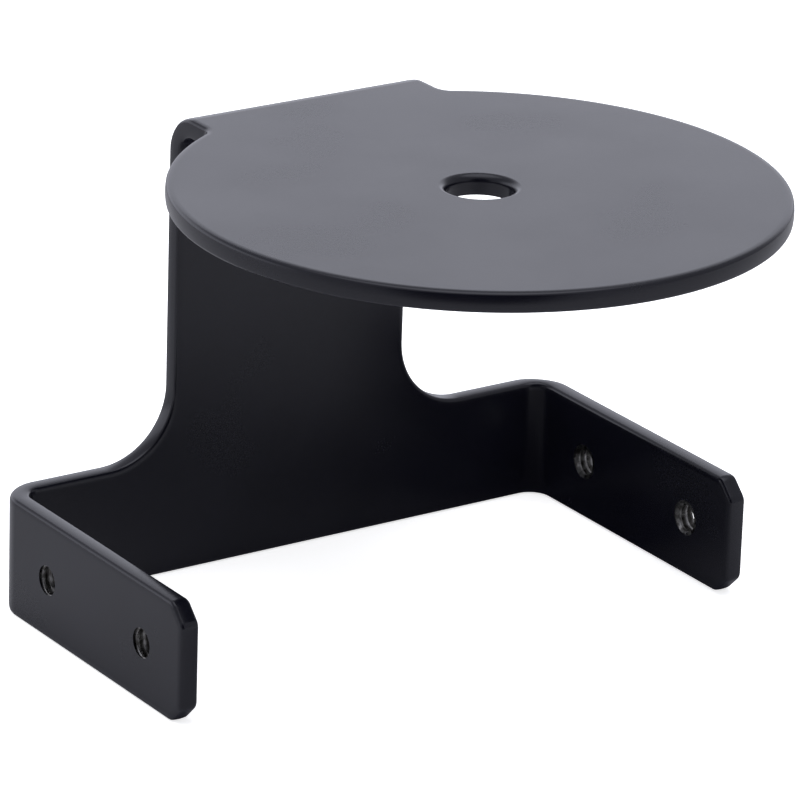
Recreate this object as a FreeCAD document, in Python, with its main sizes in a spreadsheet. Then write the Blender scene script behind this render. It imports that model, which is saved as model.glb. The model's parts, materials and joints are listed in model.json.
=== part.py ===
"""Folded steel bracket with a round top plate and two drilled and tapped ears.

The bracket is one laser-cut blank of steel plate, folded three times.  A band
stands on its edge at the back and folds forward into an ear at each end.  A neck
rises from the middle of the band and folds forward into a round plate with one
plain hole at its centre.  Each ear has two tapped through holes.

Frame: +Z up, the ears point to -Y, and the origin is on the floor under the
middle of the whole part.  Inside the body, the band's front face is Y = 0, the
band's lower edge is Z = 0, and X = 0 is the plane of symmetry.  Millimetres.
"""

import FreeCAD
import Part
import Sketcher
import os
import sys

SIZES = {
    "plate_thickness": 3.5,     # steel plate with its powder coat
    "bend_inside": 3.4,         # inside radius of all three folds
    "disc_diameter": 101.6,     # round top plate, 4 in
    "disc_height": 82.5,        # floor to the top of the round plate
    "disc_reach": 54.2,         # band's front face to the centre of the round plate
    "neck_width": 46.8,
    "band_width": 113.0,        # over the outside of both ears
    "band_height": 21.0,
    "ear_reach": 56.3,          # band's front face to the ears' front ends
    "neck_corner": 12.7,        # radius where the neck's edge runs into the band's
    "disc_corner": 3.0,         # radius where the neck's edge runs into the disc's
    "ear_chamfer": 3.2,         # 45 degree corner cuts on the ears
    "chamfer_corner": 2.0,      # radius at both ends of a corner cut
    "edge_round": 0.9,          # tumbled edge all round the blank
    "centre_hole": 11.1,        # plain hole for a 3/8 in or M10 bolt
    "upper_lip": 1.3,           # broad round that the punch drew into the plain hole's mouth
    "lower_lip": 0.35,          # small round where the plain hole comes out below
    "thread_major": 6.35,       # 1/4-20 UNC
    "thread_pitch": 1.27,
    "tapped_mouth": 0.15,       # lead-in chamfer at both ends of a tapped hole
    "hole_spacing": 30.0,       # between the two tapped holes of an ear
    "hole_setback": 14.0,       # band's front face to the rear tapped hole
}

NEAR = 0.01

# Bore that the crests of a 60 degree thread leave, its minor diameter
MINOR_SHARE = 1.0825
TAPPED_BORE = f"Sizes.thread_major - {MINOR_SHARE} * Sizes.thread_pitch"

doc = FreeCAD.newDocument("bracket")


def make_sheet():
    """Put every driving dimension in a spreadsheet cell with its name as alias."""
    sheet = doc.addObject("Spreadsheet::Sheet", "Sizes")
    for row, (name, value) in enumerate(SIZES.items(), start=1):
        sheet.set(f"A{row}", name)
        sheet.set(f"B{row}", str(value))
        sheet.setAlias(f"B{row}", name)
    doc.recompute()
    return sheet


def size(name):
    """Value of one named cell, for edge picking."""
    return float(sizes.get(name))


def new_sketch(body, name, role, offset=None):
    """Sketch on an origin plane of the body, moved along its normal by an expression."""
    sketch = body.newObject("Sketcher::SketchObject", name)
    plane = [item for item in body.Origin.OriginFeatures if item.Role == role][0]
    sketch.AttachmentSupport = (plane, [""])
    sketch.MapMode = "FlatFace"
    if offset:
        sketch.setExpression(".AttachmentOffset.Base.z", offset)
    return sketch


def measure(sketch, kind, first, second, name, expression):
    """Add a named dimension between two points and bind it to the spreadsheet."""
    index = sketch.addConstraint(Sketcher.Constraint(kind, *first, *second, 1.0))
    sketch.renameConstraint(index, name)
    sketch.setExpression(f"Constraints.{name}", expression)


def draw_outline(sketch, corners):
    """Closed outline of horizontal and vertical lines through the given corners."""
    points = [FreeCAD.Vector(x, y, 0) for x, y in corners]
    count = len(points)
    for i in range(count):
        sketch.addGeometry(Part.LineSegment(points[i], points[(i + 1) % count]), False)
    for i in range(count):
        sketch.addConstraint(Sketcher.Constraint("Coincident", i, 2, (i + 1) % count, 1))
        level = abs(points[i].y - points[(i + 1) % count].y) < NEAR
        sketch.addConstraint(Sketcher.Constraint("Horizontal" if level else "Vertical", i))


def draw_circle(sketch, centre, diameter, name):
    """Circle whose diameter is bound; its centre is dimensioned by the caller."""
    middle = FreeCAD.Vector(centre[0], centre[1], 0)
    axis = FreeCAD.Vector(0, 0, 1)
    index = sketch.addGeometry(Part.Circle(middle, axis, size("edge_round")), False)
    rule = sketch.addConstraint(Sketcher.Constraint("Diameter", index, 2 * size("edge_round")))
    sketch.renameConstraint(rule, name)
    sketch.setExpression(f"Constraints.{name}", diameter)
    return index


def pad(body, sketch, name, length, both_ways=False):
    feature = body.newObject("PartDesign::Pad", name)
    feature.Profile = sketch
    feature.setExpression("Length", length)
    feature.Midplane = both_ways
    doc.recompute()
    return feature


def dress(body, kind, name, base, edges, amount):
    """Fillet or chamfer the named edges of the feature below."""
    feature = body.newObject(f"PartDesign::{kind}", name)
    feature.Base = (base, edges)
    feature.setExpression("Radius" if kind == "Fillet" else "Size", amount)
    doc.recompute()
    return feature


def drill(body, sketch, name, diameter):
    """Plain hole through everything behind the sketch; the sketch's circles place it."""
    feature = body.newObject("PartDesign::Hole", name)
    feature.Profile = sketch
    doc.recompute()
    feature.Threaded = False
    feature.ThreadType = "None"
    feature.HoleCutType = "None"
    feature.DepthType = "ThroughAll"
    feature.DrillPoint = "Flat"
    feature.setExpression("Diameter", diameter)
    doc.recompute()
    return feature


def edges_at(feature, along, **where):
    """Names of the straight edges parallel to one axis, at the given distances from 0."""
    found = []
    for index, edge in enumerate(feature.Shape.Edges, start=1):
        ends = [vertex.Point for vertex in edge.Vertexes]
        if len(ends) != 2:
            continue
        span = ends[1] - ends[0]
        placed = all(
            any(abs(abs(getattr(end, axis)) - value) < NEAR for value in values)
            for axis, values in where.items()
            for end in ends
        )
        if placed and abs(abs(getattr(span, along)) - span.Length) < NEAR:
            found.append(f"Edge{index}")
    return found


def rims(feature, radius, height=None):
    """Names of the full circles of one radius, and of one height if that is given."""
    return [
        f"Edge{index}"
        for index, edge in enumerate(feature.Shape.Edges, start=1)
        if len(edge.Vertexes) == 1
        and isinstance(edge.Curve, Part.Circle)
        and abs(edge.Curve.Radius - radius) < NEAR
        and (height is None or abs(edge.Curve.Center.z - height) < NEAR)
    ]


def is_rolled(face):
    """True for the plate's two rolled sides, flat or folded; False for a cut side."""
    surface = face.Surface
    half_band = size("band_width") / 2
    thickness = size("plate_thickness")
    if isinstance(surface, Part.Cylinder):
        bends = (size("bend_inside"), size("bend_inside") + thickness)
        return any(abs(surface.Radius - bend) < NEAR for bend in bends)
    point = surface.Position
    normal = surface.Axis
    levels = (
        (normal.x, abs(point.x), (half_band, half_band - thickness)),
        (normal.y, point.y, (0, thickness)),
        (normal.z, point.z, (size("disc_height"), size("disc_height") - thickness)),
    )
    return any(
        abs(abs(along) - 1) < NEAR and any(abs(place - level) < NEAR for level in known)
        for along, place, known in levels
    )


def blank_edges(feature):
    """Names of the edges between a rolled side and a cut side of the plate."""
    shape = feature.Shape
    found = []
    for index, edge in enumerate(shape.Edges, start=1):
        faces = shape.ancestorsOfType(edge, Part.Face)
        if len(faces) == 2 and is_rolled(faces[0]) != is_rolled(faces[1]):
            found.append(f"Edge{index}")
    return found


def band_sketch(body):
    """U seen from above: the band and the two ears, with sharp corners."""
    sketch = new_sketch(body, "band_outline", "XY_Plane")
    half = size("band_width") / 2
    thickness = size("plate_thickness")
    reach = -size("ear_reach")
    draw_outline(sketch, [
        (-half, thickness), (half, thickness), (half, reach), (half - thickness, reach),
        (half - thickness, 0), (thickness - half, 0), (thickness - half, reach), (-half, reach),
    ])
    origin = (-1, 1)
    left_out, right_out = (0, 1), (0, 2)
    right_end, right_in = (2, 1), (3, 2)
    left_in, left_end = (4, 2), (6, 2)
    measure(sketch, "DistanceX", left_out, origin, "left_half", "Sizes.band_width / 2")
    measure(sketch, "DistanceX", origin, right_out, "right_half", "Sizes.band_width / 2")
    measure(sketch, "DistanceY", origin, right_out, "band_plate", "Sizes.plate_thickness")
    measure(sketch, "DistanceY", right_end, origin, "right_reach", "Sizes.ear_reach")
    measure(sketch, "DistanceY", left_end, origin, "left_reach", "Sizes.ear_reach")
    measure(sketch, "DistanceX", right_in, right_out, "right_plate", "Sizes.plate_thickness")
    measure(sketch, "DistanceX", left_out, left_in, "left_plate", "Sizes.plate_thickness")
    sketch.addConstraint(Sketcher.Constraint("PointOnObject", *right_in, -1))
    return sketch


def neck_sketch(body):
    """L seen from the side: the upright neck and the arm under the round plate."""
    sketch = new_sketch(body, "neck_outline", "YZ_Plane")
    thickness = size("plate_thickness")
    top = size("disc_height")
    reach = -size("disc_reach")
    draw_outline(sketch, [
        (0, 0), (thickness, 0), (thickness, top), (reach, top),
        (reach, top - thickness), (0, top - thickness),
    ])
    origin = (-1, 1)
    foot_front, foot_back = (0, 1), (0, 2)
    top_back, arm_end, arm_under = (1, 2), (2, 2), (3, 2)
    sketch.addConstraint(Sketcher.Constraint("Coincident", *foot_front, *origin))
    measure(sketch, "DistanceX", origin, foot_back, "neck_plate", "Sizes.plate_thickness")
    measure(sketch, "DistanceY", foot_back, top_back, "neck_top", "Sizes.disc_height")
    measure(sketch, "DistanceX", arm_end, origin, "arm_reach", "Sizes.disc_reach")
    measure(sketch, "DistanceY", arm_under, arm_end, "arm_plate", "Sizes.plate_thickness")
    return sketch


def disc_sketch(body):
    """Round plate, drawn at its lower face."""
    level = "Sizes.disc_height - Sizes.plate_thickness"
    sketch = new_sketch(body, "disc_outline", "XY_Plane", level)
    centre = (0, -size("disc_reach"))
    index = draw_circle(sketch, centre, "Sizes.disc_diameter", "disc_across")
    sketch.addConstraint(Sketcher.Constraint("PointOnObject", index, 3, -2))
    measure(sketch, "DistanceY", (index, 3), (-1, 1), "disc_forward", "Sizes.disc_reach")
    return sketch


def centre_hole_sketch(body):
    """Plain hole at the centre of the round plate, drawn at its top face."""
    sketch = new_sketch(body, "centre_hole_outline", "XY_Plane", "Sizes.disc_height")
    centre = (0, -size("disc_reach"))
    index = draw_circle(sketch, centre, "Sizes.centre_hole", "hole_across")
    sketch.addConstraint(Sketcher.Constraint("PointOnObject", index, 3, -2))
    measure(sketch, "DistanceY", (index, 3), (-1, 1), "hole_forward", "Sizes.disc_reach")
    return sketch


def tapped_holes_sketch(body):
    """Two bores for the threads on the outside of the right ear, half way up the band."""
    sketch = new_sketch(body, "tapped_holes_outline", "YZ_Plane", "Sizes.band_width / 2")
    middle = size("band_height") / 2
    rear_y = -size("hole_setback")
    front_y = rear_y - size("hole_spacing")
    rear = draw_circle(sketch, (rear_y, middle), TAPPED_BORE, "rear_across")
    front = draw_circle(sketch, (front_y, middle), TAPPED_BORE, "front_across")
    origin = (-1, 1)
    measure(sketch, "DistanceX", (rear, 3), origin, "rear_forward", "Sizes.hole_setback")
    measure(sketch, "DistanceX", (front, 3), (rear, 3), "apart", "Sizes.hole_spacing")
    measure(sketch, "DistanceY", origin, (rear, 3), "rear_up", "Sizes.band_height / 2")
    measure(sketch, "DistanceY", origin, (front, 3), "front_up", "Sizes.band_height / 2")
    return sketch


def folded_blank(body):
    """Band, neck and round plate with their three folds and all corner radii."""
    half_band = size("band_width") / 2
    half_neck = size("neck_width") / 2
    thickness = size("plate_thickness")
    top = size("disc_height")
    band_top = size("band_height")
    ear_end = size("ear_reach")
    cut = size("ear_chamfer")
    inside = "Sizes.bend_inside"
    outside = "Sizes.bend_inside + Sizes.plate_thickness"

    band = pad(body, band_sketch(body), "band", "Sizes.band_height")
    edges = edges_at(band, "z", x=[half_band], y=[thickness])
    band = dress(body, "Fillet", "ear_bends_outside", band, edges, outside)
    edges = edges_at(band, "z", x=[half_band - thickness], y=[0])
    dress(body, "Fillet", "ear_bends_inside", band, edges, inside)

    pad(body, neck_sketch(body), "neck", "Sizes.neck_width", both_ways=True)
    plate = pad(body, disc_sketch(body), "round_plate", "Sizes.plate_thickness")
    edges = edges_at(plate, "x", y=[thickness], z=[top])
    plate = dress(body, "Fillet", "neck_bend_outside", plate, edges, outside)
    edges = edges_at(plate, "x", y=[0], z=[top - thickness])
    plate = dress(body, "Fillet", "neck_bend_inside", plate, edges, inside)

    edges = edges_at(plate, "y", x=[half_neck], z=[band_top])
    plate = dress(body, "Fillet", "neck_corners", plate, edges, "Sizes.neck_corner")
    disc_radius = size("disc_diameter") / 2
    meeting = size("disc_reach") - (disc_radius ** 2 - half_neck ** 2) ** 0.5
    edges = edges_at(plate, "z", x=[half_neck], y=[meeting])
    plate = dress(body, "Fillet", "disc_corners", plate, edges, "Sizes.disc_corner")

    edges = edges_at(plate, "x", y=[ear_end], z=[0, band_top])
    plate = dress(body, "Chamfer", "ear_corner_cuts", plate, edges, "Sizes.ear_chamfer")
    edges = edges_at(plate, "x", y=[ear_end], z=[cut, band_top - cut])
    edges += edges_at(plate, "x", y=[ear_end - cut], z=[0, band_top])
    plate = dress(body, "Fillet", "ear_corner_radii", plate, edges, "Sizes.chamfer_corner")
    return dress(body, "Fillet", "tumbled_edges", plate, blank_edges(plate), "Sizes.edge_round")


def bracket_plate():
    """The whole bracket: one folded plate with its holes."""
    body = doc.addObject("PartDesign::Body", "bracket_plate")
    body.Label = "bracket_plate"
    blank = folded_blank(body)

    hole = drill(body, centre_hole_sketch(body), "centre_hole", "Sizes.centre_hole")
    volumes = [blank.Shape.Volume, hole.Shape.Volume]
    top = size("disc_height")
    edges = rims(hole, size("centre_hole") / 2, top)
    lips = dress(body, "Fillet", "centre_hole_upper_lip", hole, edges, "Sizes.upper_lip")
    edges = rims(lips, size("centre_hole") / 2, top - size("plate_thickness"))
    dress(body, "Fillet", "centre_hole_lower_lip", lips, edges, "Sizes.lower_lip")

    tapped = drill(body, tapped_holes_sketch(body), "tapped_holes", TAPPED_BORE)
    volumes.append(tapped.Shape.Volume)
    edges = rims(tapped, (size("thread_major") - MINOR_SHARE * size("thread_pitch")) / 2)
    dress(body, "Chamfer", "tapped_hole_mouths", tapped, edges, "Sizes.tapped_mouth")
    if not volumes[0] > volumes[1] > volumes[2]:
        sys.exit("a hole removed no material")

    depth = "(Sizes.disc_reach + Sizes.disc_diameter / 2 - Sizes.plate_thickness) / 2"
    body.setExpression(".Placement.Base.y", depth)
    return body


def check(bodies):
    """Stop if any object failed to recompute or any sub-part is not one good solid."""
    doc.recompute()
    for item in doc.Objects:
        if "Invalid" in item.State or "Error" in item.State:
            sys.exit(f"{item.Name} failed: {item.State}")
    for body in bodies:
        shape = body.Shape
        if shape.isNull() or not shape.isValid() or len(shape.Solids) != 1:
            sys.exit(f"{body.Label} is not one valid solid")


sizes = make_sheet()
bodies = [bracket_plate()]
check(bodies)
os.makedirs("parts", exist_ok=True)
for body in bodies:
    body.Shape.exportStep(f"parts/{body.Label}.step")
    box = body.Shape.optimalBoundingBox()
    print(f"{body.Label}: {box.XLength:.2f} x {box.YLength:.2f} x {box.ZLength:.2f} mm,"
          f" {body.Shape.Volume / 1000:.2f} cm3")
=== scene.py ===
"""Studio scene of the folded steel bracket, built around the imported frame.

The plate is meshed as a flat blank with rounded edges and then folded, the way the
real one is made.  Each tapped hole gets its own helical thread.  Everything is in
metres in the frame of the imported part: +Z up, the ears point to -Y.
"""

import json
import math

import bpy
from mathutils import Matrix, Vector


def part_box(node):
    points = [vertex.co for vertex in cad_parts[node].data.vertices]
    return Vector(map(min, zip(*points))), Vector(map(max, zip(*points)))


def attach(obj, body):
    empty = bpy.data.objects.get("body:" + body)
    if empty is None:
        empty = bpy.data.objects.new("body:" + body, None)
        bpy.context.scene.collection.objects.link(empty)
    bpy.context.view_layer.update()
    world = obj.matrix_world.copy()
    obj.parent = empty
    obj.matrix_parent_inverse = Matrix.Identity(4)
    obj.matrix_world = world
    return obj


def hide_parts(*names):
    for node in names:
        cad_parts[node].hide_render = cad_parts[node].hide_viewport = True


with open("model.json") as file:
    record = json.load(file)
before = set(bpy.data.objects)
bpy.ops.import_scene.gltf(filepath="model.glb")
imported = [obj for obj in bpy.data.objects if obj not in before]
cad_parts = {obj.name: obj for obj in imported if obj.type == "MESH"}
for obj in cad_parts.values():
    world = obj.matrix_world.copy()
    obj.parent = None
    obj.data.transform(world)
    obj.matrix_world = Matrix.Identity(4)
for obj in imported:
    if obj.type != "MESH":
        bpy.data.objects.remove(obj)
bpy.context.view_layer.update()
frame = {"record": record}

MM = 0.001
NODE = "bracket_plate"
MOUNTS = {mount["name"]: mount for mount in frame["record"]["mounts"]}

# Sizes read from the frame
BOX_LOW, BOX_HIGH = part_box(NODE)
HALF_BAND = BOX_HIGH.x
PLATE_TOP = BOX_HIGH.z
BACK_Y = BOX_HIGH.y
DISC_Y = MOUNTS["centre_hole"]["pos_m"][1]
DISC_RADIUS = DISC_Y - BOX_LOW.y
CENTRE_HOLE_RADIUS = MOUNTS["centre_hole"]["dims"]["r_mm"] * MM
EAR_HOLES = MOUNTS["right_ear_holes"]
HOLE_HEIGHT = EAR_HOLES["pos_m"][2]
HOLE_SPACING = EAR_HOLES["dims"]["spacing_x_mm"] * MM
MINOR_RADIUS = EAR_HOLES["dims"]["hole_r_mm"] * MM

# Sizes of the blank and its folds
THICKNESS = 3.5 * MM
BEND_INSIDE = 3.4 * MM
NECK_HALF = 23.4 * MM
BAND_HEIGHT = 21.0 * MM
EAR_REACH = 56.3 * MM
NECK_CORNER = 12.7 * MM
DISC_CORNER = 3.0 * MM
EAR_CHAMFER = 3.2 * MM
CHAMFER_CORNER = 2.0 * MM
EDGE_ROUND = 0.7 * MM
SHOULDER_ANGLE = math.radians(12)
SHOULDER_LENGTH = 0.75 * MM     # worn slope on the face, before the round edge
CROWN_ANGLE = math.radians(8)   # swelling of the cut edge between its two rounds
UPPER_LIP = 1.3 * MM            # the punch drew this side in, so its lip is broader
LOWER_LIP = 0.35 * MM
FOLD_BULGE = 0.22 * MM          # steel squeezed out at the inside of a fold's ends
BULGE_DROP = 1.6                # share of it lost through the plate, so the outside draws in
BULGE_DEPTH = 1.6 * MM          # how far it reaches in from the cut edge

# Sizes of the thread, 1/4-20 UNC
THREAD_MAJOR_RADIUS = 3.175 * MM
THREAD_PITCH = 1.27 * MM
THREAD_ROOT_FLAT = THREAD_PITCH / 8
THREAD_FLANK = math.sqrt(3)     # depth for each length along the axis, with 60 degree flanks
THREAD_START = 0.303            # share of a turn by which the thread is turned
THREAD_SLEEVE_RADIUS = 3.25 * MM
THREAD_MOUTH_RADIUS = MINOR_RADIUS + 0.06 * MM
COAT_OUTSIDE = MINOR_RADIUS + 0.08 * MM     # opening in the coat on an ear's outside
COAT_INSIDE = 3.1 * MM                      # the same on its inside
COAT_LIP = 0.05 * MM
SLEEVE_OVERLAP = 0.05 * MM
SLEEVE_RECESS = 0.06 * MM

# Mesh density
FOLD_STEPS = 14
ROUND_STEPS = 6
SOFT_STEPS = 3
WEB_RINGS = 4
ARC_STEP = math.radians(1.5)
CORNER_STEP = math.radians(9)
NECK_DISC_STEP = math.radians(7)
LEAST_ARC_PIECES = 4
EDGE_STEP = 0.9 * MM
THREAD_SIDES = 96
THREAD_ROWS = 92
THREAD_SHARP_ANGLE = math.radians(35)

BEND_MIDDLE = BEND_INSIDE + THICKNESS / 2
FOLD_LENGTH = BEND_MIDDLE * math.pi / 2
FRONT_Y = BACK_Y - THICKNESS
EAR_FOLD_START = HALF_BAND - THICKNESS - BEND_INSIDE
EAR_FOLD_END = EAR_FOLD_START + FOLD_LENGTH
EAR_END = EAR_FOLD_END + EAR_REACH - BEND_INSIDE
NECK_FOLD_START = PLATE_TOP - THICKNESS - BEND_INSIDE
NECK_FOLD_END = NECK_FOLD_START + FOLD_LENGTH
DISC_V = NECK_FOLD_END + (FRONT_Y - DISC_Y) - BEND_INSIDE
HOLE_MIDDLE_U = EAR_FOLD_END + (FRONT_Y - EAR_HOLES["pos_m"][1]) - BEND_INSIDE
HOLE_US = (HOLE_MIDDLE_U - HOLE_SPACING / 2, HOLE_MIDDLE_U + HOLE_SPACING / 2)
NEAR = 0.002 * MM

# Where the photographer stood: the room is dark there, and the table ends before it
FROM_LEFT = math.radians(34.48)
FROM_ABOVE = math.radians(20.92)
CAMERA_ROLL = math.radians(1.91)
CAMERA_DISTANCE = 0.9400
CAMERA_AIM = Vector((-0.01193, -0.00005, 0.00537))      # from the middle of the part's box
CAMERA_LENS = 259.66                                    # millimetres, as is the sensor
CAMERA_SENSOR = 36.0
CAMERA_CLIP_END = 50
TOWARDS_CAMERA = Vector((-math.sin(FROM_LEFT), -math.cos(FROM_LEFT), 0))

# Paper and table
FLOOR_HALF = 6.0
TABLE_FRONT = 0.262
TABLE_REACH = 3.0
TABLE_LIFT = 0.05 * MM
# Painted shade on the table: a dark round patch between the ears, where the bracket shades the floor
PAINTED_SHADE_CENTRE = (0.048, 0.034, 0)
PAINTED_SHADE_RADII = (0.012, 0.046)    # darkest up to the first, gone at the second

# Studio room: its brightness, and between which direction components each part fades
ROOM_COLOUR = (0.95, 0.965, 1.09)
WALLS = 0.40
BACKDROP = 1.23
CEILING = 1.5
DARK_RISE = 0.15                # upward lean of the dark region round the camera
DARK_FADE = (0.78, 0.90)
BACKDROP_FADE = (0.15, 0.50)
BACKDROP_TOP_FADE = (0.42, 0.56)
CEILING_FADE = (0.84, 0.94)
OVERHEAD_PLACE = (-0.1, 0.1, 2.0)
OVERHEAD_AIM = (0, 0, 0.04)
OVERHEAD_SIDE = 2.4
OVERHEAD_WATTS = 32

# Powder coat; each noise is its scale per metre and its detail
COAT_COLOURS = ((0.0026, 0.0027, 0.0056), (0.0038, 0.0039, 0.0074))
COAT_TONE = (55, 4)
COAT_CLOUDS = (38, 3)
COAT_ROUGHNESS = (0.22, 0.27)
COAT_SPECKLE = (2600, 2)
SPECKLE_ROUGHNESS = 0.012
RIM_CALM = 0.7                  # share of the relief missing on the cut edges
COAT_RELIEF = (                 # noise, height of the relief in metres, and strength
    ((210, 1.5), 2e-5, 0.2),
    ((780, 2), 8e-6, 0.3),
    ((4200, 2), 1.5e-6, 0.35),
)

# Bare steel of the threads
STEEL_COLOURS = ((0.12, 0.115, 0.105), (0.42, 0.415, 0.40))
STEEL_STAINS = (900, 4)
STEEL_CLOUDS = (1500, 3)
STEEL_ROUGHNESS = (0.24, 0.46)
TOOL_MARKS = (9000, 700, 700)   # scale per metre: closest together along the holes' axis
TOOL_MARK_DETAIL = 3
TOOL_MARK_HEIGHT = 2e-5
TOOL_MARK_STRENGTH = 0.45

# Studio paper and grey table
PAPER_COLOURS = ((0.90, 0.90, 0.90), (0.92, 0.92, 0.92))
PAPER_TONE = (3, 2)
PAPER_GLOW = 0.75
# Painted shade colour of the dark patch, then the table's own grey
TABLE_PAINTED_SHADE_AND_GREY = ((0.005, 0.005, 0.006), (0.45, 0.45, 0.465))
MATT = 0.9


# ---------------------------------------------------------------- folding

def turn(distance, depth, start, end):
    """Follow the plate round one fold.

    distance runs along the flat blank and depth from the front side to the back.
    Returns the place along the band, the place towards the back, and the angle.
    """
    if distance <= start:
        return distance, depth, 0.0
    angle = min((distance - start) / BEND_MIDDLE, math.pi / 2)
    radius = BEND_INSIDE + depth
    along = start + radius * math.sin(angle)
    back = radius * math.cos(angle) - BEND_INSIDE
    if distance > end:
        back -= distance - end
    return along, back, angle


def bulge(distance, depth, start, end, from_edge):
    """How far the cut edge moves at a fold: out on the fold's inside, in on its outside."""
    share = (distance - start) / (end - start)
    if share <= 0 or share >= 1:
        return 0.0
    squeeze = 1 - BULGE_DROP * depth / THICKNESS
    fade = math.exp(-from_edge / BULGE_DEPTH)
    return FOLD_BULGE * squeeze * fade * math.sin(share * math.pi) ** 2


def fold_point(point, normal):
    """Move a point and its normal from the flat blank to the folded bracket."""
    u, v, depth = point
    nu, nv, nd = normal
    side = 1 if u >= 0 else -1
    if v > NECK_FOLD_START:
        z, back, angle = turn(v, depth, NECK_FOLD_START, NECK_FOLD_END)
        from_edge = max(NECK_HALF - abs(u), 0)
        wide = bulge(v, depth, NECK_FOLD_START, NECK_FOLD_END, from_edge)
        place = Vector((u + side * wide, FRONT_Y + back, z))
        along = Vector((0, -math.sin(angle), math.cos(angle)))
        away = Vector((0, math.cos(angle), math.sin(angle)))
        return place, nu * Vector((1, 0, 0)) + nv * along + nd * away
    if abs(u) > EAR_FOLD_START:
        x, back, angle = turn(abs(u), depth, EAR_FOLD_START, EAR_FOLD_END)
        above = v > BAND_HEIGHT / 2
        from_edge = BAND_HEIGHT - v if above else v
        high = bulge(abs(u), depth, EAR_FOLD_START, EAR_FOLD_END, from_edge)
        place = Vector((side * x, FRONT_Y + back, v + high if above else v))
        along = Vector((side * math.cos(angle), -math.sin(angle), 0))
        away = Vector((side * math.sin(angle), math.cos(angle), 0))
        return place, side * nu * along + nv * Vector((0, 0, 1)) + nd * away
    return Vector((u, FRONT_Y + depth, v)), Vector((nu, nd, nv))


# ---------------------------------------------------------------- outline of the blank

def stops_between(first, last, stops):
    """The stops that lie strictly between two values, in walking order."""
    inside = [s for s in stops if min(first, last) + NEAR < s < max(first, last) - NEAR]
    return sorted(inside, reverse=first > last)


def fold_values(start, end):
    return [start + (end - start) * k / FOLD_STEPS for k in range(FOLD_STEPS + 1)]


U_STOPS = [side * u for side in (-1, 1)
           for u in fold_values(EAR_FOLD_START, EAR_FOLD_END) + [HOLE_MIDDLE_U]]
V_STOPS = fold_values(NECK_FOLD_START, NECK_FOLD_END)


def straight(first, last, normal):
    """Samples from first up to but without last, with a point at every fold stop."""
    across = abs(last[0] - first[0]) > abs(last[1] - first[1])
    axis = 0 if across else 1
    diagonal = abs(last[0] - first[0]) > NEAR and abs(last[1] - first[1]) > NEAR
    stops = [] if diagonal else stops_between(first[axis], last[axis], (U_STOPS, V_STOPS)[axis])
    marks = [first[axis], *stops, last[axis]]
    samples = []
    for here, there in zip(marks, marks[1:]):
        pieces = max(1, math.ceil(abs(there - here) / EDGE_STEP))
        for k in range(pieces):
            share = (here + (there - here) * k / pieces - first[axis]) / (last[axis] - first[axis])
            point = (first[0] + (last[0] - first[0]) * share, first[1] + (last[1] - first[1]) * share)
            samples.append((point, normal))
    return samples


def arc(centre, radius, start, end, step=ARC_STEP):
    """Samples along an arc, with both ends; the material is inside when end > start."""
    pieces = max(LEAST_ARC_PIECES, math.ceil(abs(end - start) / step))
    outward = 1 if end > start else -1
    samples = []
    for k in range(pieces + 1):
        angle = start + (end - start) * k / pieces
        ray = (math.cos(angle), math.sin(angle))
        point = (centre[0] + radius * ray[0], centre[1] + radius * ray[1])
        samples.append((point, (outward * ray[0], outward * ray[1])))
    return samples


def corner(before, tip, after, radius, step):
    """Arc that rounds the corner at tip between the lines from before and to after."""
    come = Vector((tip[0] - before[0], tip[1] - before[1])).normalized()
    leave = Vector((after[0] - tip[0], after[1] - tip[1])).normalized()
    bend = math.atan2(come.x * leave.y - come.y * leave.x, come.dot(leave))
    side = 1 if bend > 0 else -1
    setback = radius * math.tan(abs(bend) / 2)
    start = Vector(tip) - come * setback
    inward = side * Vector((-come.y, come.x))
    centre = start + inward * radius
    first = math.atan2(-inward.y, -inward.x)
    return arc(centre, radius, first, first + bend, step)


def right_half():
    """Outline from the middle of the lower edge, anticlockwise, to the top of the disc."""
    corners = [
        ((EAR_END - EAR_CHAMFER, 0), CHAMFER_CORNER, CORNER_STEP),
        ((EAR_END, EAR_CHAMFER), CHAMFER_CORNER, CORNER_STEP),
        ((EAR_END, BAND_HEIGHT - EAR_CHAMFER), CHAMFER_CORNER, CORNER_STEP),
        ((EAR_END - EAR_CHAMFER, BAND_HEIGHT), CHAMFER_CORNER, CORNER_STEP),
        ((NECK_HALF, BAND_HEIGHT), NECK_CORNER, 2 * ARC_STEP),
    ]
    reach = DISC_RADIUS + DISC_CORNER
    drop = math.sqrt(reach ** 2 - (NECK_HALF + DISC_CORNER) ** 2)
    turn_centre = (NECK_HALF + DISC_CORNER, DISC_V - drop)
    neck_end = (NECK_HALF, turn_centre[1])
    here = (0, 0)
    before = [here] + [tip for tip, _, _ in corners]
    after = [tip for tip, _, _ in corners[1:]] + [neck_end]
    samples = []
    for last, (tip, radius, step), following in zip(before, corners, after):
        rounded = corner(last, tip, following, radius, step)
        samples += straight(here, rounded[0][0], rounded[0][1])
        samples += rounded[:-1]
        here = rounded[-1][0]
    samples += straight(here, neck_end, (1, 0))
    meeting = math.atan2(drop, -(NECK_HALF + DISC_CORNER))
    samples += arc(turn_centre, DISC_CORNER, math.pi, meeting, NECK_DISC_STEP)[:-1]
    disc_start = math.atan2(-drop, NECK_HALF + DISC_CORNER)
    return samples + arc((0, DISC_V), DISC_RADIUS, disc_start, math.pi / 2)


def blank_outline():
    """The whole closed outline: the right half and its mirror image."""
    right = right_half()
    left = [((-p[0], p[1]), (-n[0], n[1])) for p, n in reversed(right[1:-1])]
    return right + left


# ---------------------------------------------------------------- cut edges

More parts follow.
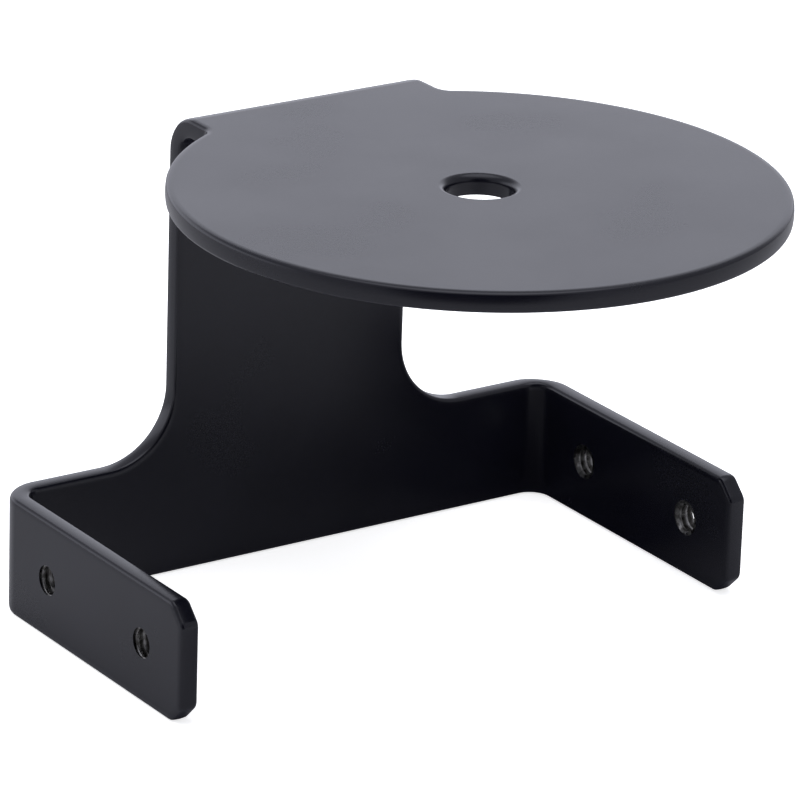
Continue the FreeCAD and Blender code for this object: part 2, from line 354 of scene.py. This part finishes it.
def edge_profile(bends):
    """Half cross-section of a cut edge, from the flat face round to the wall.

    bends lists how far the normal turns, the radius it turns with, and the steps.
    Each entry of the result is the distance in from the outline, the depth below the
    face, and the angle of the normal from the face's own.
    """
    walked = [(0.0, 0.0, 0.0)]
    for angle, radius, steps in bends:
        out, depth, start = walked[-1]
        for k in range(1, steps + 1):
            now = start + angle * k / steps
            walked.append((out + radius * (math.sin(now) - math.sin(start)),
                           depth + radius * (math.cos(start) - math.cos(now)), now))
    outermost = walked[-1][0]
    return [(outermost - out, depth, angle) for out, depth, angle in walked]


def rounded_edge(radius):
    """Straight wall with one round at each face."""
    return edge_profile([(math.pi / 2, radius, ROUND_STEPS)])


def tumbled_edge():
    """Outer edge of the blank: a soft shoulder, a small round and a crowned wall."""
    slope = SHOULDER_LENGTH / math.sin(SHOULDER_ANGLE)
    turned = math.pi / 2 - SHOULDER_ANGLE - CROWN_ANGLE
    used = slope * (1 - math.cos(SHOULDER_ANGLE))
    used += EDGE_ROUND * (math.cos(SHOULDER_ANGLE) - math.sin(CROWN_ANGLE))
    bow = (THICKNESS / 2 - used) / math.sin(CROWN_ANGLE)
    return edge_profile([(SHOULDER_ANGLE, slope, SOFT_STEPS), (turned, EDGE_ROUND, ROUND_STEPS),
                         (CROWN_ANGLE, bow, SOFT_STEPS)])


def coat_lip(opening):
    """Edge of the coat round a tapped hole, which covers the end of the steel sleeve."""
    set_back = opening - COAT_OUTSIDE
    sleeve = THREAD_SLEEVE_RADIUS - COAT_OUTSIDE
    lip = [(set_back + inset, depth, angle) for inset, depth, angle in rounded_edge(COAT_LIP)]
    below = COAT_LIP + NEAR
    return lip + [(sleeve, below, math.pi), (sleeve, below + NEAR, math.pi / 2)]


# ---------------------------------------------------------------- meshing the blank

class Blank:
    """Vertices, normals and faces of the flat blank."""

    def __init__(self):
        self.points = []
        self.normals = []
        self.rims = []
        self.faces = []

    def add(self, point, normal, rim=0.0):
        self.points.append(point)
        self.normals.append(normal)
        self.rims.append(rim)
        return len(self.points) - 1

    def wall(self, samples, front_profile, back_profile):
        """Wall with profiled edges along a closed loop; returns its front and back rings."""
        back_half = [entry for entry in reversed(back_profile) if entry[1] < THICKNESS / 2 - NEAR]
        rings = []
        for back, half in ((False, front_profile), (True, back_half)):
            for inset, depth, angle in half:
                face = math.cos(angle) * (1 if back else -1)
                ring = []
                for (u, v), (nu, nv) in samples:
                    point = (u - nu * inset, v - nv * inset, THICKNESS - depth if back else depth)
                    normal = (nu * math.sin(angle), nv * math.sin(angle), face)
                    ring.append(self.add(point, normal, math.sin(angle)))
                rings.append(ring)
        count = len(samples)
        for ring, following in zip(rings, rings[1:]):
            for i in range(count):
                j = (i + 1) % count
                self.faces.append((ring[j], ring[i], following[i], following[j]))
        return rings[0], rings[-1]

    def side_faces(self, faces, back):
        """Faces listed anticlockwise as seen from the front."""
        self.faces += [tuple(reversed(face)) if back else tuple(face) for face in faces]

    def flat_point(self, u, v, back):
        return self.add((u, v, THICKNESS if back else 0.0), (0, 0, 1 if back else -1))

    def web(self, outer, inner, back):
        """Rings of quads between a loop of vertices and a hole's matching loop."""
        rings = [outer]
        for k in range(1, WEB_RINGS):
            share = k / WEB_RINGS
            ring = []
            for a, b in zip(outer, inner):
                first, last = self.points[a], self.points[b]
                u = first[0] + (last[0] - first[0]) * share
                v = first[1] + (last[1] - first[1]) * share
                ring.append(self.flat_point(u, v, back))
            rings.append(ring)
        rings.append(inner)
        count = len(outer)
        quads = []
        for far, close in zip(rings, rings[1:]):
            for i in range(count):
                j = (i + 1) % count
                quads.append((far[i], far[j], close[j], close[i]))
        self.side_faces(quads, back)

    def build(self, name):
        """Fold every vertex and make the Blender object."""
        folded = [fold_point(p, n) for p, n in zip(self.points, self.normals)]
        mesh = bpy.data.meshes.new(name)
        mesh.from_pydata([place for place, _ in folded], [], self.faces)
        mesh.polygons.foreach_set("use_smooth", [True] * len(mesh.polygons))
        rim = mesh.attributes.new("rim", "FLOAT", "POINT")
        rim.data.foreach_set("value", self.rims)
        mesh.normals_split_custom_set_from_vertices([normal.normalized() for _, normal in folded])
        mesh.validate()
        return link(name, mesh)


def link(name, mesh):
    thing = bpy.data.objects.new(name, mesh)
    bpy.context.scene.collection.objects.link(thing)
    return thing


def hole_samples(centre, radius, boundary):
    """Hole loop with one sample on the ray to each boundary point.

    The wall is walked clockwise, because the material is outside the hole.
    """
    samples = []
    for u, v in boundary:
        ray = Vector((u - centre[0], v - centre[1])).normalized()
        point = (centre[0] + radius * ray.x, centre[1] + radius * ray.y)
        samples.append((point, (-ray.x, -ray.y)))
    return samples[::-1]


def lower(u, v):
    """Whether a point lies in the lower half of the band and ears."""
    return v < BAND_HEIGHT / 2


def upper(u, v):
    """Whether a point lies in the upper half of the band and ears."""
    return BAND_HEIGHT / 2 < v < BAND_HEIGHT


def rail(first, last, spacing):
    """Points strictly between two flat points, evenly spaced."""
    (u0, v0), (u1, v1) = first, last
    pieces = math.ceil(math.hypot(u1 - u0, v1 - v0) / spacing)
    return [(u0 + (u1 - u0) * k / pieces, v0 + (v1 - v0) * k / pieces) for k in range(1, pieces)]


def plate_mesh():
    """The whole bracket as one closed mesh."""
    blank = Blank()
    outline = blank_outline()
    sides = blank.wall(outline, tumbled_edge(), tumbled_edge())
    flat = [blank.points[i][:2] for i in sides[0]]

    def picked(test):
        """Outline positions that pass a test, in walking order from the gap onward."""
        chosen = [i for i, (u, v) in enumerate(flat) if test(u, v)]
        breaks = [k for k in range(1, len(chosen)) if chosen[k] != chosen[k - 1] + 1]
        cut = breaks[0] if len(breaks) == 1 and chosen[0] == 0 else 0
        return chosen[cut:] + chosen[:cut]

    def at(values, axis, test):
        """For each value, the outline position with that coordinate that passes the test."""
        found = []
        for value in values:
            found += [i for i, p in enumerate(flat) if abs(p[axis] - value) < NEAR and test(*p)]
        return found

    middle = [i for i, (u, v) in enumerate(flat)
              if abs(u) < EAR_FOLD_START + NEAR and v < NECK_FOLD_START + NEAR]
    neck_values = fold_values(NECK_FOLD_START, NECK_FOLD_END)
    neck_right = at(neck_values, 1, lambda u, v: u > 0)
    neck_left = at(neck_values, 1, lambda u, v: u < 0)
    disc = picked(lambda u, v: v > NECK_FOLD_END - NEAR)
    ears = []
    for side in (-1, 1):
        values = [side * u for u in fold_values(EAR_FOLD_START, EAR_FOLD_END)]
        folds = at(values, 0, lower), at(values, 0, upper)
        split = at([side * HOLE_MIDDLE_U], 0, lower)[0], at([side * HOLE_MIDDLE_U], 0, upper)[0]
        ear = picked(lambda u, v: side * u > EAR_FOLD_END - NEAR)
        ears.append((side, folds, split, ear))

    # Holes first, because each needs one wall for both sides of the plate.
    plans = []
    neck_rail = rail(flat[neck_left[-1]], flat[neck_right[-1]], 2 * EDGE_STEP)
    disc_loop = [flat[i] for i in disc] + neck_rail
    plans.append(((0, DISC_V), CENTRE_HOLE_RADIUS, rounded_edge(LOWER_LIP),
                  rounded_edge(UPPER_LIP), disc_loop))
    for side, folds, split, ear in ears:
        fold_line = rail(flat[folds[0][-1]], flat[folds[1][-1]], EDGE_STEP)
        split_line = rail(flat[split[0]], flat[split[1]], EDGE_STEP)
        near = [i for i in ear if side * flat[i][0] < HOLE_MIDDLE_U + NEAR]
        far = [i for i in ear if side * flat[i][0] > HOLE_MIDDLE_U - NEAR]
        low_near = [i for i in near if lower(*flat[i])]
        high_near = [i for i in near if upper(*flat[i])]
        if side > 0:
            near_loop = [flat[i] for i in low_near] + split_line
            near_loop += [flat[i] for i in high_near] + fold_line[::-1]
            far_loop = [flat[i] for i in far] + split_line[::-1]
        else:
            near_loop = [flat[i] for i in high_near] + split_line[::-1]
            near_loop += [flat[i] for i in low_near] + fold_line
            far_loop = [flat[i] for i in far] + split_line
        for loop, u in zip((near_loop, far_loop), HOLE_US):
            plans.append(((side * u, HOLE_HEIGHT), COAT_OUTSIDE, coat_lip(COAT_INSIDE),
                          coat_lip(COAT_OUTSIDE), loop))

    rings = []
    for centre, radius, inside, outside, loop in plans:
        front, behind = blank.wall(hole_samples(centre, radius, loop), inside, outside)
        rings.append((front[::-1], behind[::-1]))

    places = {point: i for i, point in enumerate(flat)}
    for back in (False, True):
        edge = sides[1] if back else sides[0]
        made = {}

        def vertex(point):
            """Vertex of this side at a flat point: on the outline, or made once."""
            if point in places:
                return edge[places[point]]
            if point not in made:
                made[point] = blank.flat_point(*point, back)
            return made[point]

        blank.side_faces([[edge[i] for i in middle]], back)
        for plan, (front, behind) in zip(plans, rings):
            blank.web([vertex(point) for point in plan[-1]], behind if back else front, back)

        strips = []
        for k in range(FOLD_STEPS):
            last = k == FOLD_STEPS - 1
            extra = [vertex(point) for point in neck_rail[::-1]] if last else []
            strips.append([edge[neck_left[k]], edge[neck_right[k]], edge[neck_right[k + 1]],
                           *extra, edge[neck_left[k + 1]]])
        for side, (low, high), split, ear in ears:
            fold_line = rail(flat[low[-1]], flat[high[-1]], EDGE_STEP)
            for k in range(FOLD_STEPS):
                extra = [vertex(point) for point in fold_line] if k == FOLD_STEPS - 1 else []
                strip = [edge[low[k]], edge[low[k + 1]], *extra, edge[high[k + 1]], edge[high[k]]]
                strips.append(strip if side > 0 else strip[::-1])
        blank.side_faces(strips, back)
    return blank.build("folded_plate")


# ---------------------------------------------------------------- threads

def thread_radius(axial, turned):
    """Radius of the tapped wall at an axial place and an angle, with both lead-in cones."""
    phase = (axial / THREAD_PITCH - turned / (2 * math.pi) + THREAD_START) % 1.0
    from_root = abs(phase - 0.5) * THREAD_PITCH
    flank = max(0.0, from_root - THREAD_ROOT_FLAT / 2) * THREAD_FLANK
    wall = max(THREAD_MAJOR_RADIUS - flank, MINOR_RADIUS)
    to_mouth = min(axial, THICKNESS - axial) - SLEEVE_RECESS
    return max(wall, THREAD_MOUTH_RADIUS - max(0.0, to_mouth))


def thread_sleeve(name, side, centre_y):
    """Closed sleeve of bare steel whose inside is the helical thread."""
    middle = Vector((side * (HALF_BAND - THICKNESS / 2), centre_y, HOLE_HEIGHT))
    outer = THREAD_SLEEVE_RADIUS + SLEEVE_OVERLAP
    rows = []
    span = THICKNESS - 2 * SLEEVE_RECESS
    for k in range(THREAD_ROWS + 1):
        rows.append(("thread", SLEEVE_RECESS + span * k / THREAD_ROWS))
    rows.append(("shell", THICKNESS - SLEEVE_RECESS))
    rows.append(("shell", SLEEVE_RECESS))
    points = []
    for kind, axial in rows:
        for i in range(THREAD_SIDES):
            angle = 2 * math.pi * i / THREAD_SIDES
            radius = outer if kind == "shell" else thread_radius(axial, angle)
            offset = (axial - THICKNESS / 2, radius * math.cos(angle), radius * math.sin(angle))
            points.append(middle + Vector(offset))
    faces = []
    for row in range(len(rows)):
        after = (row + 1) % len(rows)
        for i in range(THREAD_SIDES):
            j = (i + 1) % THREAD_SIDES
            a, b = row * THREAD_SIDES + i, row * THREAD_SIDES + j
            c, d = after * THREAD_SIDES + j, after * THREAD_SIDES + i
            faces.append((a, d, c, b))
    mesh = bpy.data.meshes.new(name)
    mesh.from_pydata(points, [], faces)
    mesh.polygons.foreach_set("use_smooth", [True] * len(faces))
    mesh.set_sharp_from_angle(angle=THREAD_SHARP_ANGLE)
    return link(name, mesh)


# ---------------------------------------------------------------- materials

def new_material(name):
    material = bpy.data.materials.new(name)
    material.use_nodes = True
    return material, material.node_tree, material.node_tree.nodes["Principled BSDF"]


def noise(tree, place, scale, detail):
    node = tree.nodes.new("ShaderNodeTexNoise")
    node.inputs["Scale"].default_value = scale
    node.inputs["Detail"].default_value = detail
    tree.links.new(place, node.inputs["Vector"])
    return node.outputs["Fac"]


def spread(tree, value, low, high, start=0.35, end=0.65):
    """Map a value that runs from start to end onto the range from low to high."""
    node = tree.nodes.new("ShaderNodeMapRange")
    node.inputs["From Min"].default_value = start
    node.inputs["From Max"].default_value = end
    node.inputs["To Min"].default_value = low
    node.inputs["To Max"].default_value = high
    tree.links.new(value, node.inputs["Value"])
    return node.outputs["Result"]


def combine(tree, operation, first, second):
    node = tree.nodes.new("ShaderNodeMath")
    node.operation = operation
    for socket, value in zip(node.inputs, (first, second)):
        if isinstance(value, (int, float)):
            socket.default_value = value
        else:
            tree.links.new(value, socket)
    return node.outputs["Value"]


def bump(tree, height, distance, strength, below=None):
    node = tree.nodes.new("ShaderNodeBump")
    node.inputs["Distance"].default_value = distance
    node.inputs["Strength"].default_value = strength
    tree.links.new(height, node.inputs["Height"])
    if below is not None:
        tree.links.new(below, node.inputs["Normal"])
    return node.outputs["Normal"]


def colour_between(tree, value, first, second):
    node = tree.nodes.new("ShaderNodeMix")
    node.data_type = "RGBA"
    node.inputs["A"].default_value = (*first, 1)
    node.inputs["B"].default_value = (*second, 1)
    tree.links.new(value, node.inputs["Factor"])
    return node.outputs["Result"]


def object_place(tree):
    return tree.nodes.new("ShaderNodeTexCoord").outputs["Object"]


def powder_coat():
    """Black satin powder coat: orange peel, fine grain, calmer on the cut edges."""
    material, tree, shader = new_material("black_powder_coat")
    place = object_place(tree)
    rim = tree.nodes.new("ShaderNodeAttribute")
    rim.attribute_name = "rim"
    rim_share = rim.outputs["Fac"]

    tone = spread(tree, noise(tree, place, *COAT_TONE), 0, 1)
    paint = colour_between(tree, tone, *COAT_COLOURS)
    tree.links.new(paint, shader.inputs["Base Color"])

    cloudy = spread(tree, noise(tree, place, *COAT_CLOUDS), *COAT_ROUGHNESS)
    fine = noise(tree, place, *COAT_SPECKLE)
    speckle = spread(tree, fine, -SPECKLE_ROUGHNESS, SPECKLE_ROUGHNESS)
    satin = combine(tree, "ADD", cloudy, speckle)
    tree.links.new(satin, shader.inputs["Roughness"])

    calm = combine(tree, "SUBTRACT", 1.0, combine(tree, "MULTIPLY", rim_share, RIM_CALM))
    normal = None
    for layer, height, strength in COAT_RELIEF:
        relief = combine(tree, "MULTIPLY", noise(tree, place, *layer), calm)
        normal = bump(tree, relief, height, strength, normal)
    tree.links.new(normal, shader.inputs["Normal"])
    shader.inputs["IOR"].default_value = 1.5
    return material


def thread_steel():
    """Bare cut steel with tool marks along the thread and dark traces of oil."""
    material, tree, shader = new_material("bare_thread_steel")
    place = object_place(tree)
    shader.inputs["Metallic"].default_value = 1.0
    stain = spread(tree, noise(tree, place, *STEEL_STAINS), 0, 1)
    metal = colour_between(tree, stain, *STEEL_COLOURS)
    tree.links.new(metal, shader.inputs["Base Color"])
    rough = spread(tree, noise(tree, place, *STEEL_CLOUDS), *STEEL_ROUGHNESS)
    tree.links.new(rough, shader.inputs["Roughness"])
    stretch = tree.nodes.new("ShaderNodeMapping")
    stretch.inputs["Scale"].default_value = TOOL_MARKS
    tree.links.new(place, stretch.inputs["Vector"])
    marks = noise(tree, stretch.outputs["Vector"], 1.0, TOOL_MARK_DETAIL)
    normal = bump(tree, marks, TOOL_MARK_HEIGHT, TOOL_MARK_STRENGTH)
    tree.links.new(normal, shader.inputs["Normal"])
    return material


def floor_paper():
    """Pale studio paper, lit through from below so that shadows on it stay faint."""
    material, tree, shader = new_material("studio_paper")
    place = object_place(tree)
    tone = spread(tree, noise(tree, place, *PAPER_TONE), 0, 1)
    paper = colour_between(tree, tone, *PAPER_COLOURS)
    tree.links.new(paper, shader.inputs["Base Color"])
    shader.inputs["Roughness"].default_value = MATT
    shader.inputs["Specular IOR Level"].default_value = 0.1
    shader.inputs["Emission Color"].default_value = (1, 1, 1, 1)
    shader.inputs["Emission Strength"].default_value = PAPER_GLOW
    return material


def table_top():
    """Grey table with painted shade: a dark patch between the ears, where the bracket shades it."""
    material, tree, shader = new_material("grey_table_painted_shade")
    away = tree.nodes.new("ShaderNodeVectorMath")
    away.operation = "DISTANCE"
    away.inputs[1].default_value = PAINTED_SHADE_CENTRE
    tree.links.new(object_place(tree), away.inputs[0])
    # Painted shade: darkest near the patch centre, fading to the plain grey at the second radius
    share = spread(tree, away.outputs["Value"], 0, 1, *PAINTED_SHADE_RADII)
    grey_with_painted_shade = colour_between(tree, share, *TABLE_PAINTED_SHADE_AND_GREY)
    tree.links.new(grey_with_painted_shade, shader.inputs["Base Color"])
    shader.inputs["Roughness"].default_value = MATT
    shader.inputs["Specular IOR Level"].default_value = 0.0
    return material


# ---------------------------------------------------------------- stage, light and camera

def flat_stage(name, corners, material):
    mesh = bpy.data.meshes.new(name)
    mesh.from_pydata(corners, [], [(0, 1, 2, 3)])
    mesh.materials.append(material)
    thing = link(name, mesh)
    return thing


def floor():
    """Pale paper for the camera, and a darker table that only reflections show."""
    corners = [(x * FLOOR_HALF, y * FLOOR_HALF, 0) for x, y in ((-1, -1), (1, -1), (1, 1), (-1, 1))]
    paper = flat_stage("floor", corners, floor_paper())
    paper.visible_glossy = False

    front = TOWARDS_CAMERA * TABLE_FRONT
    back = -TOWARDS_CAMERA * TABLE_REACH
    side = Vector((-TOWARDS_CAMERA.y, TOWARDS_CAMERA.x, 0)) * TABLE_REACH
    lift = Vector((0, 0, TABLE_LIFT))
    corners = [front - side + lift, front + side + lift, back + side + lift, back - side + lift]
    table = flat_stage("table", corners, table_top())
    table.visible_camera = False
    table.visible_diffuse = False
    table.visible_shadow = False


def area_light(name, place, aim, side, power):
    """Square soft light at a place, pointed at another."""
    data = bpy.data.lights.new(name, "AREA")
    data.shape = "SQUARE"
    data.size = side
    data.energy = power
    thing = bpy.data.objects.new(name, data)
    bpy.context.scene.collection.objects.link(thing)
    thing.location = place
    thing.rotation_mode = "QUATERNION"
    thing.rotation_quaternion = (Vector(aim) - Vector(place)).to_track_quat("-Z", "Y")
    return thing


def lights():
    """Room with a bright backdrop and ceiling, dim walls, and dark round the camera."""
    world = bpy.data.worlds.new("studio")
    bpy.context.scene.world = world
    world.use_nodes = True
    tree = world.node_tree
    background = tree.nodes["Background"]
    background.inputs["Color"].default_value = (*ROOM_COLOUR, 1)
    direction = tree.nodes.new("ShaderNodeTexCoord").outputs["Generated"]
    parts = tree.nodes.new("ShaderNodeSeparateXYZ")
    tree.links.new(direction, parts.inputs["Vector"])
    facing = tree.nodes.new("ShaderNodeVectorMath")
    facing.operation = "DOT_PRODUCT"
    facing.inputs[1].default_value = (TOWARDS_CAMERA + Vector((0, 0, DARK_RISE))).normalized()
    tree.links.new(direction, facing.inputs[0])

    walls = spread(tree, facing.outputs["Value"], WALLS, 0.0, *DARK_FADE)
    backdrop = spread(tree, parts.outputs["Y"], 0, BACKDROP - WALLS, *BACKDROP_FADE)
    low = spread(tree, parts.outputs["Z"], 1, 0, *BACKDROP_TOP_FADE)
    ceiling = spread(tree, parts.outputs["Z"], 0, CEILING - WALLS, *CEILING_FADE)
    lit = combine(tree, "ADD", walls, combine(tree, "MULTIPLY", backdrop, low))
    tree.links.new(combine(tree, "ADD", lit, ceiling), background.inputs["Strength"])

    overhead = area_light("overhead", OVERHEAD_PLACE, OVERHEAD_AIM, OVERHEAD_SIDE, OVERHEAD_WATTS)
    overhead.visible_glossy = False


def camera():
    """Long lens from the front left, a little above the bracket."""
    look_at = (BOX_LOW + BOX_HIGH) / 2 + CAMERA_AIM
    forward = Vector((math.sin(FROM_LEFT) * math.cos(FROM_ABOVE),
                      math.cos(FROM_LEFT) * math.cos(FROM_ABOVE), -math.sin(FROM_ABOVE)))
    level = Vector((math.cos(FROM_LEFT), -math.sin(FROM_LEFT), 0))
    upright = level.cross(forward)
    right = math.cos(CAMERA_ROLL) * level + math.sin(CAMERA_ROLL) * upright
    up = math.cos(CAMERA_ROLL) * upright - math.sin(CAMERA_ROLL) * level
    data = bpy.data.cameras.new("camera")
    data.sensor_width = CAMERA_SENSOR
    data.lens = CAMERA_LENS
    data.clip_end = CAMERA_CLIP_END
    thing = bpy.data.objects.new("camera", data)
    bpy.context.scene.collection.objects.link(thing)
    turned = Matrix((right, up, -forward)).transposed().to_4x4()
    thing.matrix_world = Matrix.Translation(look_at - forward * CAMERA_DISTANCE) @ turned
    bpy.context.scene.camera = thing


# ---------------------------------------------------------------- the object

def bracket():
    plate = plate_mesh()
    plate.data.materials.append(powder_coat())
    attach(plate, "root")
    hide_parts(NODE)


def threads():
    steel = thread_steel()
    middle_y = EAR_HOLES["pos_m"][1]
    for side, side_name in ((-1, "left"), (1, "right")):
        for shift, end_name in ((0.5, "rear"), (-0.5, "front")):
            y = middle_y + shift * HOLE_SPACING
            piece = thread_sleeve(f"thread_{side_name}_{end_name}", side, y)
            piece.data.materials.append(steel)
            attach(piece, "root")


bracket()
threads()
floor()
lights()
camera()
bpy.context.scene.view_settings.view_transform = "Standard"
